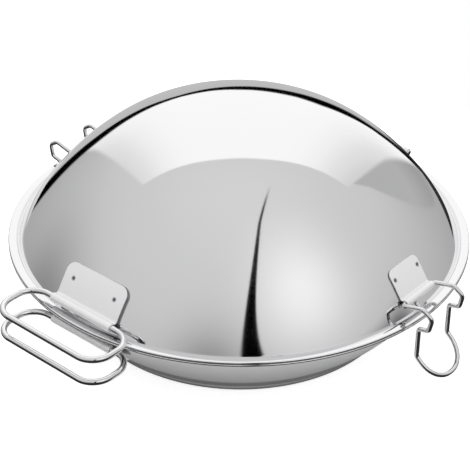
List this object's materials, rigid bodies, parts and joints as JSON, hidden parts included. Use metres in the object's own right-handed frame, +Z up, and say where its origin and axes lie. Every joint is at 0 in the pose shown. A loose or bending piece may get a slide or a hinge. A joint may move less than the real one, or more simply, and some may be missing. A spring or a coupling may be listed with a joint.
{
  "type": "cataplana",
  "caption": "Round steel steaming pan: a flanged bowl on a disc base and a hinged deep domed lid, with stacked wire handles and wire latches that hook under the rim.",
  "frame": {"origin": "on the ground, under the centre of the pan's base", "axes": "+Z up along the pan's axis; the handles are at -X, the hinge at +X and the latches on the Y axis, the front one at -Y"},
  "size_m": [0.3579, 0.3622, 0.148],
  "materials": {
    "shell": "polished stainless steel",
    "plate": "satin stainless steel",
    "wire": "bright drawn stainless steel wire",
    "core": "bare"
  },
  "bodies": {
    "pan": {"pan_shell": "shell", "base_core": "core", "base_cap": "shell", "pan_handle_plate": "plate", "pan_handle_loop": "wire", "pan_hinge_leaf": "plate", "hinge_pin": "wire"},
    "lid": {"lid_shell": "shell", "lid_handle_plate": "plate", "lid_handle_loop": "wire", "lid_hinge_leaf": "plate", "latch_plate_front": "plate", "latch_plate_back": "plate"},
    "latch_front": {"latch_bail_front": "wire"},
    "latch_back": {"latch_bail_back": "wire"}
  },
  "joints": [
    {"name": "lid_hinge", "type": "hinge", "parent": "pan", "child": "lid", "pos_m": [0.166, 0, 0.0581], "axis": [0, 1, 0], "range_deg": [0, 165]},
    {"name": "latch_front_swing", "type": "hinge", "parent": "lid", "child": "latch_front", "pos_m": [0, -0.15003, 0.068], "axis": [-1, 0, 0], "range_deg": [-34, 112]},
    {"name": "latch_back_swing", "type": "hinge", "parent": "lid", "child": "latch_back", "pos_m": [0, 0.15003, 0.068], "axis": [1, 0, 0], "range_deg": [-34, 112]}
  ]
}
